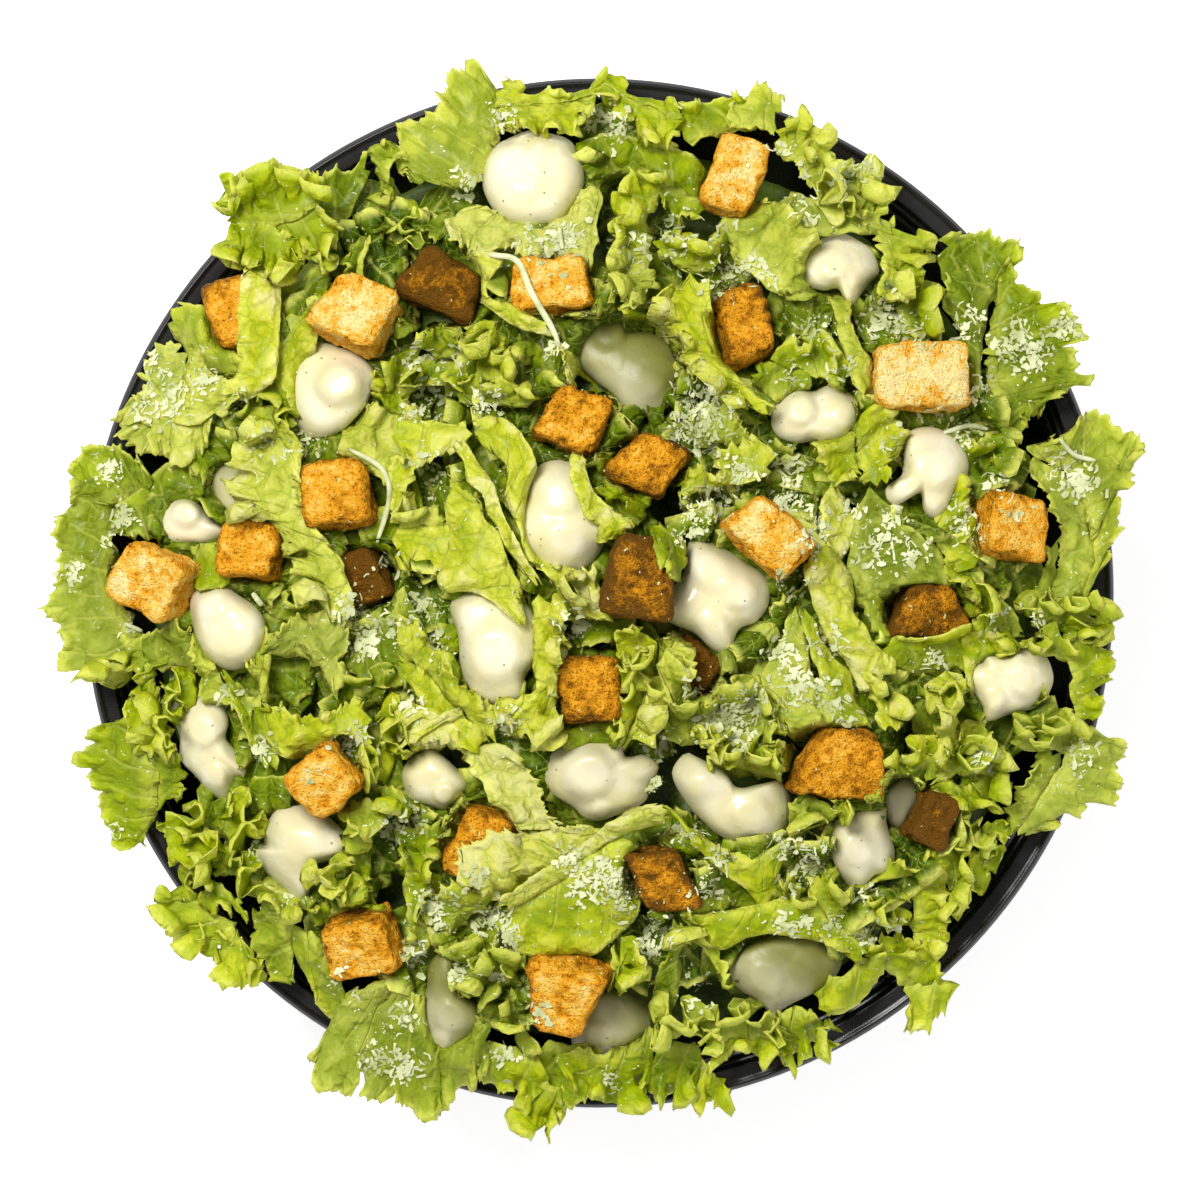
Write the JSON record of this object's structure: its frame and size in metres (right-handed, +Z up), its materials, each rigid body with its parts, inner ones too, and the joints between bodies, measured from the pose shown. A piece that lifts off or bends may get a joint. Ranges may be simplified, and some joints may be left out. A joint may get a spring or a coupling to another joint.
{
  "type": "caesar salad in a bowl",
  "caption": "Round black plastic bowl heaped with cut lettuce, croutons, grated hard cheese and spoonfuls of creamy dressing.",
  "frame": {"origin": "centre of the bowl's flat base, on the surface that it stands on", "axes": "+Z up through the mouth of the bowl; +X to the right and +Y away as the salad is looked at from above"},
  "size_m": [0.2152, 0.2086, 0.0935],
  "materials": {
    "bowl_plastic": "black moulded plastic, glossy",
    "lettuce_leaf": "fresh cut lettuce, satin, yellow-green with pale ribs",
    "toasted_bread": "toasted bread crumb, dry and rough",
    "creamy_dressing": "thick creamy dressing, wet gloss, specks of pepper",
    "grated_cheese": "grated hard cheese, dry and pale"
  },
  "bodies": {
    "root": {"bowl": "bowl_plastic", "lettuce": "lettuce_leaf", "crouton_01": "toasted_bread", "crouton_02": "toasted_bread", "crouton_03": "toasted_bread", "crouton_04": "toasted_bread", "crouton_05": "toasted_bread", "crouton_06": "toasted_bread", "crouton_07": "toasted_bread", "crouton_08": "toasted_bread", "crouton_09": "toasted_bread", "crouton_10": "toasted_bread", "crouton_11": "toasted_bread", "crouton_12": "toasted_bread", "crouton_13": "toasted_bread", "crouton_14": "toasted_bread", "crouton_15": "toasted_bread", "crouton_16": "toasted_bread", "crouton_17": "toasted_bread", "crouton_18": "toasted_bread", "crouton_19": "toasted_bread", "crouton_20": "toasted_bread", "crouton_21": "toasted_bread", "crouton_22": "toasted_bread", "crouton_23": "toasted_bread", "crouton_24": "toasted_bread", "crouton_25": "toasted_bread", "crouton_26": "toasted_bread", "dressing_01": "creamy_dressing", "dressing_02": "creamy_dressing", "dressing_03": "creamy_dressing", "dressing_04": "creamy_dressing", "dressing_05": "creamy_dressing", "dressing_06": "creamy_dressing", "dressing_07": "creamy_dressing", "dressing_08": "creamy_dressing", "dressing_09": "creamy_dressing", "dressing_10": "creamy_dressing", "dressing_11": "creamy_dressing", "dressing_12": "creamy_dressing", "dressing_13": "creamy_dressing", "dressing_14": "creamy_dressing", "dressing_15": "creamy_dressing", "dressing_16": "creamy_dressing", "dressing_17": "creamy_dressing", "dressing_18": "creamy_dressing", "dressing_19": "creamy_dressing", "dressing_20": "creamy_dressing", "dressing_21": "creamy_dressing", "dressing_22": "creamy_dressing", "dressing_23": "creamy_dressing"}
  },
  "joints": []
}
